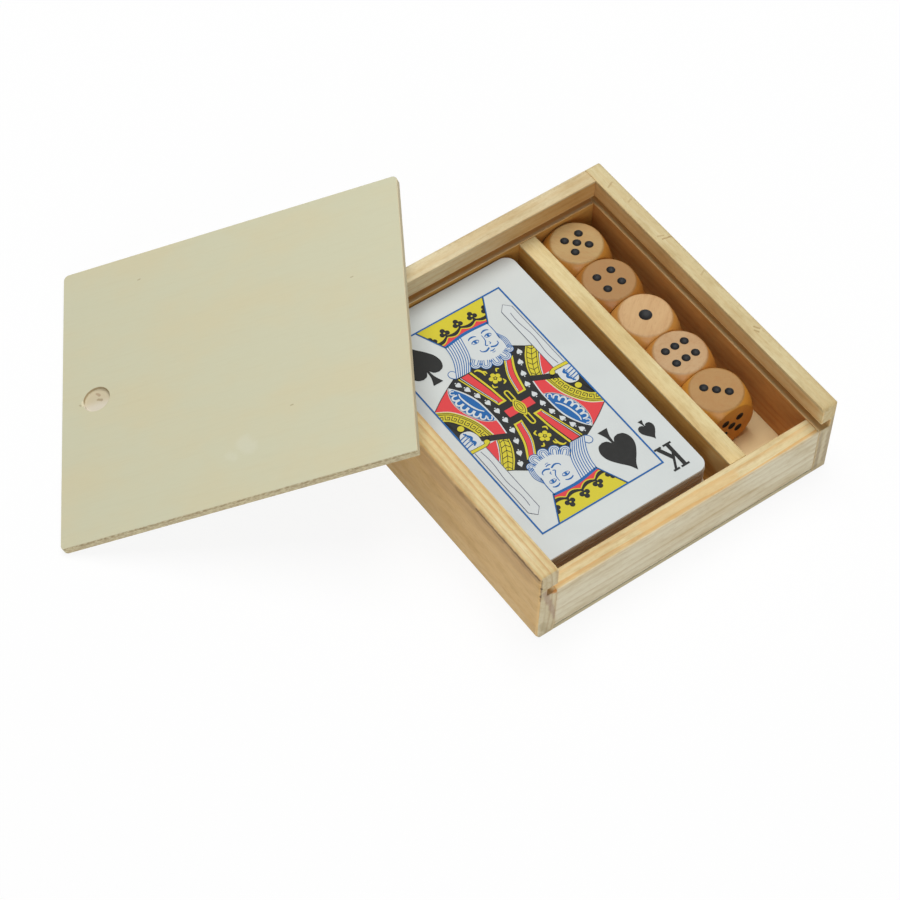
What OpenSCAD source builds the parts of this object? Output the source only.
// Playing card box: a small pine box with a sliding plywood lid, a deck of cards and five wooden dice.
// The box is sized round what it holds. The lid is off: its front edge stands on the table and its
// underside leans on the box's back left corner. The origin is on the table, under the middle of the
// box. +X points to the dice, +Y to the back and +Z up.

/* [Cards] */
// Width of a card, bridge size
card_w = 57.2; // [50:0.1:70]
// Length of a card, bridge size
card_l = 88.9; // [80:0.1:100]
// Thickness of a card
card_t = 0.265; // [0.2:0.005:0.35]
// Radius of a card's corners
card_r = 3.2; // [1:0.1:6]
// Cards of each suit
suit_cards = 13; // [8:1:13]
// Jokers under the suits
jokers_count = 2; // [1:1:3]

/* [Dice] */
// Edge of a die, face to face
die_size = 15.6; // [10:0.1:20]
// Width of the round flat on each face
die_flat_d = 14.6; // [8:0.1:15]
// Width of a pip
pip_d = 2.6; // [1.5:0.1:3]
// Width of the single pip on the one
ace_d = 3.9; // [2:0.1:5]
// Depth of a pip
pip_depth = 0.5; // [0.2:0.05:0.8]
// Pip centre to face centre, along each side
pip_step = 2.45; // [1.8:0.05:3.2]
// Spacing of the three pips in a row of the six
six_step = 3.3; // [2.8:0.05:3.6]

/* [Box] */
// Thickness of the four walls
wall_t = 5.5; // [4.5:0.1:9]
// Thickness of the bottom panel
panel_t = 1.7; // [1.2:0.1:4]
// Thickness of the divider strip
divider_t = 5.5; // [3:0.1:9]
// Height of the lips above the lid groove
lip_h = 6.3; // [3:0.1:12]
// Radius of the sanded outer edges
edge_r = 1.4; // [0.4:0.1:2]
// Radius of the edges along the foot at the front and back
foot_r = 0.5; // [0.2:0.1:1]

/* [Lid] */
// Thickness of the lid
lid_t = 2; // [1.5:0.1:4]
// Depth of the groove that the lid runs in
groove_d = 3.3; // [2:0.1:3.8]
// Radius of the lid's corners
lid_r = 1.6; // [0.5:0.1:6]
// Radius of the one back corner that was left almost sharp
lid_sharp_r = 0.4; // [0.2:0.1:0.5]
// Width of the thumb recess at its rim
thumb_d = 7.9; // [5:0.1:16]
// Depth of the thumb recess
thumb_depth = 0.9; // [0.3:0.1:1.2]
// How far the thumb recess narrows from its rim to its floor, on each side
thumb_slope = 0.35; // [0.1:0.05:1.5]
// Front edge of the lid to the middle of the thumb recess
thumb_in = 10.3; // [6:0.1:30]

/* [Clearances] */
// Room beside the deck, across the box
card_room_x = 4.5; // [1:0.1:10]
// Room at the end of the deck, along the box
card_room_y = 4.1; // [1:0.1:10]
// Room beside the dice, across the box
dice_room_x = 5.2; // [2:0.1:12]
// Room over the contents, under the lid
head_room = 1.1; // [0.4:0.1:4]
// Lid to the groove, up and down
lid_play_z = 1.1; // [0.3:0.1:1.5]
// Lid to the bottom of the groove, on each side
lid_play_x = 0.25; // [0.1:0.05:0.8]
// Lid to the bottom of the groove, at the back
lid_play_y = 0.6; // [0.2:0.1:1.2]
// Front wall and divider below the groove's floor
run_gap = 0.2; // [0.1:0.05:0.5]
// Deck to the left wall, and deck and dice to the back wall
side_gap = 0.35; // [0.1:0.05:0.8]
// Row of dice to the divider
die_gap_x = 0.1; // [0.1:0.1:1.5]
// Die to die
die_gap_y = 0.1; // [0.05:0.05:0.5]
// Air between two cards
card_gap = 0.02; // [0.01:0.01:0.05]
// Cards and dice to the panel they lie on
seat_gap = 0.05; // [0.02:0.01:0.2]
// How far single cards stray from a square deck
card_stray = 0.15; // [0:0.01:0.2]

/* [Lid at rest] */
// Lean of the lid out of the level
lid_lean = 22.2; // [15:0.1:30]
// Direction in which the lid climbs, from +X
lid_yaw = -32.2; // [-40:0.1:-25]
// Lid's middle along its foot, from the line through the origin
lid_shift = 9.6; // [0:0.1:20]
// Lid to the box's corner that it leans on
lean_gap = 0.15; // [0.05:0.05:0.5]

/* [Hidden] */
$fn = 64;

// Numbers that each die shows on top and in front, from the back of the row
dice_numbers = [[5, 3], [4, 5], [1, 2], [6, 4], [3, 5]];
// How far each die lies off the row's line, away from the divider
dice_stray = [0.7, 0, 0.4, 0.1, 0];

card_count = 4 * suit_cards + jokers_count;
card_step = card_t + card_gap;
deck_h = card_count * card_step - card_gap;
die_step = die_size + die_gap_y;
dice_l = len(dice_numbers) * die_step - die_gap_y;

card_bay_w = card_w + card_room_x;
dice_bay_w = die_size + dice_room_x;
inner_w = card_bay_w + divider_t + dice_bay_w;
inner_l = max(card_l + card_room_y, dice_l + 2 * side_gap);
floor_z = panel_t + seat_gap;
groove_z = floor_z + max(deck_h, die_size) + head_room;
groove_h = lid_t + lid_play_z;
box_w = inner_w + 2 * wall_t;
box_l = inner_l + 2 * wall_t;
box_h = groove_z + groove_h + lip_h;
low_top = groove_z - run_gap;

divider_x = -inner_w / 2 + card_bay_w + divider_t / 2;
deck_x = -inner_w / 2 + side_gap + card_w / 2 + card_stray;
deck_y = inner_l / 2 - side_gap - card_l / 2 - card_stray;
dice_x = divider_x + divider_t / 2 + die_gap_x + die_size / 2;
dice_y = inner_l / 2 - side_gap - die_size / 2;

lid_w = inner_w + 2 * (groove_d - lid_play_x);
lid_l = inner_l + wall_t + groove_d - lid_play_y;

// The lid's underside is the plane lean_n . p = lean_s. It touches the box's rounded corner, whose
// three edge rounds cross, and meets the table along the lid's front edge.
lean_n = [-sin(lid_lean) * cos(lid_yaw), -sin(lid_lean) * sin(lid_yaw), cos(lid_lean)];
lean_centre = [edge_r - box_w / 2, box_l / 2 - edge_r, box_h - edge_r];
lean_round = edge_r * norm([abs(lean_n[0]) + abs(lean_n[1]), lean_n[2]]);
lean_s = lean_n * lean_centre + lean_round + lean_gap;
lid_foot = -lean_s / sin(lid_lean);

pine = [0.87, 0.79, 0.59];
ply = [0.81, 0.79, 0.67];
varnished = [0.8, 0.62, 0.42];
card_white = [0.9, 0.9, 0.89];

// Rectangle centred on the origin, with one radius on its upper corners and one on its lower ones
module round_rect(w, h, top_r, low_r) {
    for (side = [-1, 1]) {
        translate([side * (w / 2 - top_r), h / 2 - top_r]) circle(top_r);
        translate([side * (w / 2 - low_r), low_r - h / 2]) circle(low_r);
    }
    translate([top_r - w / 2, h / 2 - top_r]) square([w - 2 * top_r, top_r]);
    translate([low_r - w / 2, -h / 2]) square([w - 2 * low_r, low_r]);
    translate([-w / 2, low_r - h / 2]) square([w, h - top_r - low_r]);
}

// Block from one corner to the opposite one
module block(low, high) {
    translate(low) cube(high - low);
}

// The box's sanded outside: its plan, its front view and its side view, each with rounded corners
module sanded_outside() {
    intersection() {
        linear_extrude(box_h) round_rect(box_w, box_l, edge_r, edge_r);
        translate([0, box_l / 2, box_h / 2]) rotate([90, 0, 0])
            linear_extrude(box_l) round_rect(box_w, box_h, edge_r, edge_r);
        translate([-box_w / 2, 0, box_h / 2]) rotate([90, 0, 90])
            linear_extrude(box_w) round_rect(box_l, box_h, edge_r, foot_r);
    }
}

// The space that the lid's groove takes from the walls, from in front of the box to the given end
module groove_cut(end_y) {
    block(
        [-inner_w / 2 - groove_d, -box_l, groove_z],
        [inner_w / 2 + groove_d, end_y, groove_z + groove_h]
    );
}

// Side wall on the +X side, full length and height, grooved from end to end
module side_wall() {
    intersection() {
        difference() {
            block([inner_w / 2, -box_l / 2, 0], [box_w / 2, box_l / 2, box_h]);
            groove_cut(box_l);
        }
        sanded_outside();
    }
}

module right_wall() {
    color(pine) side_wall();
}

module left_wall() {
    color(pine) mirror([1, 0, 0]) side_wall();
}

// Back wall, butted between the side walls on the panel, with the groove's closed end
module back_wall() {
    color(pine) intersection() {
        difference() {
            block([-inner_w / 2, inner_l / 2, panel_t], [inner_w / 2, box_l / 2, box_h]);
            groove_cut(inner_l / 2 + groove_d);
        }
        sanded_outside();
    }
}

// Front wall, sawn off at the groove so that the lid slides out over it
module front_wall() {
    color(pine) intersection() {
        block([-inner_w / 2, -box_l / 2, panel_t], [inner_w / 2, -inner_l / 2, low_top]);
        sanded_outside();
    }
}

// Bottom panel, between the side walls and under the front and back walls
module bottom_panel() {
    color(ply) intersection() {
        block([-inner_w / 2, -box_l / 2, 0], [inner_w / 2, box_l / 2, panel_t]);
        sanded_outside();
    }
}

// Strip that parts the cards from the dice
module divider() {
    color(pine) block(
        [divider_x - divider_t / 2, -inner_l / 2, panel_t],
        [divider_x + divider_t / 2, inner_l / 2, low_top]
    );
}

// Ball whose cut by the plane z = 0 is a dent of the given width and depth
module dent(d, depth) {
    ball_r = (d * d / 4 + depth * depth) / (2 * depth);
    translate([0, 0, ball_r - depth]) sphere(ball_r);
}

// Cone that drills a recess into the plane z = 0, with the given rim, depth and narrowing on each side
module drill(d, depth, slope) {
    translate([0, 0, -depth]) cylinder(h = 2 * depth, d1 = d - 2 * slope, d2 = d + 2 * slope);
}

// Lid's outline round its middle: a board with rounded corners, but one of them almost sharp
module lid_outline() {
    round_rect(lid_l, lid_w, lid_r, lid_r);
    translate([lid_l / 2 - lid_r, lid_r - lid_w / 2])
        round_rect(2 * lid_r, 2 * lid_r, lid_sharp_r, lid_sharp_r);
}

// Lid as it lies in the groove: front edge at x = 0, underside at z = 0
module lid_board() {
    difference() {
        translate([lid_l / 2, 0, 0]) linear_extrude(lid_t) lid_outline();
        translate([thumb_in, 0, lid_t]) drill(thumb_d, thumb_depth, thumb_slope);
    }
}

module lid() {
    color(ply) rotate([0, 0, lid_yaw]) translate([lid_foot, lid_shift, 0])
        rotate([0, -lid_lean, 0]) lid_board();
}

// Places of the pips on a face that shows n
function pips(n) =
    let (
        s = pip_step,
        middle = n % 2 == 1 ? [[0, 0]] : [],
        falling = n > 1 && n < 6 ? [[-s, s], [s, -s]] : [],
        rising = n > 3 && n < 6 ? [[-s, -s], [s, s]] : [],
        rows = n == 6 ? [for (x = [-1 : 1], y = [-1, 1]) [x * six_step, y * s]] : []
    )
    concat(middle, falling, rising, rows);

// Faces of a die as directions. Opposite faces add up to seven, and 1, 2 and 3 turn anticlockwise.
function face_way(n) = n > 3 ? -face_way(7 - n) : [for (k = [1 : 3]) k == n ? 1 : 0];
function way_face(w) = let (k = w * [1, 2, 3]) k < 0 ? 7 + k : k;

// Number on the +X face of a die whose top and front are given
function right_face(top, front) = way_face(cross(face_way(7 - front), face_way(top)));

// Pips of the number n, sunk into the face that points up
module pip_face(n) {
    for (p = pips(n))
        translate([p[0], p[1], die_size / 2]) dent(n == 1 ? ace_d : pip_d, pip_depth);
}

// One die: a cube whose edges and corners are turned down to a ball
module die(top, front) {
    side = right_face(top, front);
    difference() {
        intersection() {
            cube(die_size, center = true);
            sphere(norm([die_size, die_flat_d]) / 2);
        }
        pip_face(top);
        rotate([180, 0, 0]) pip_face(7 - top);
        rotate([90, 0, 0]) pip_face(front);
        rotate([-90, 0, 0]) pip_face(7 - front);
        rotate([0, 90, 0]) pip_face(side);
        rotate([0, -90, 0]) pip_face(7 - side);
    }
}

// Die number i of the row, which starts at the back wall
module row_die(i) {
    numbers = dice_numbers[i - 1];
    color(varnished)
        translate([dice_x + dice_stray[i - 1], dice_y - (i - 1) * die_step, floor_z + die_size / 2])
        die(numbers[0], numbers[1]);
}

// Cards of the deck from number first up, counted from the bottom, as separate sheets
module cards(first, count) {
    color(card_white) for (i = [first : 1 : first + count - 1]) {
        stray = i == card_count - 1 ? 0 : card_stray;
        translate([deck_x + stray * sin(137 * i), deck_y + stray * cos(101 * i), floor_z + i * card_step])
            linear_extrude(card_t) round_rect(card_w, card_l, card_r, card_r);
    }
}

module jokers() {
    cards(0, jokers_count);
}

module heart_cards() {
    cards(jokers_count, suit_cards);
}

module club_cards() {
    cards(jokers_count + suit_cards, suit_cards);
}

module diamond_cards() {
    cards(jokers_count + 2 * suit_cards, suit_cards);
}

module spade_cards() {
    cards(jokers_count + 3 * suit_cards, suit_cards - 1);
}

// Top card, face up
module king_of_spades() {
    cards(card_count - 1, 1);
}

left_wall();
right_wall();
back_wall();
front_wall();
bottom_panel();
divider();
lid();
row_die(1);  // die_1
row_die(2);  // die_2
row_die(3);  // die_3
row_die(4);  // die_4
row_die(5);  // die_5
king_of_spades();
spade_cards();
diamond_cards();
club_cards();
heart_cards();
jokers();
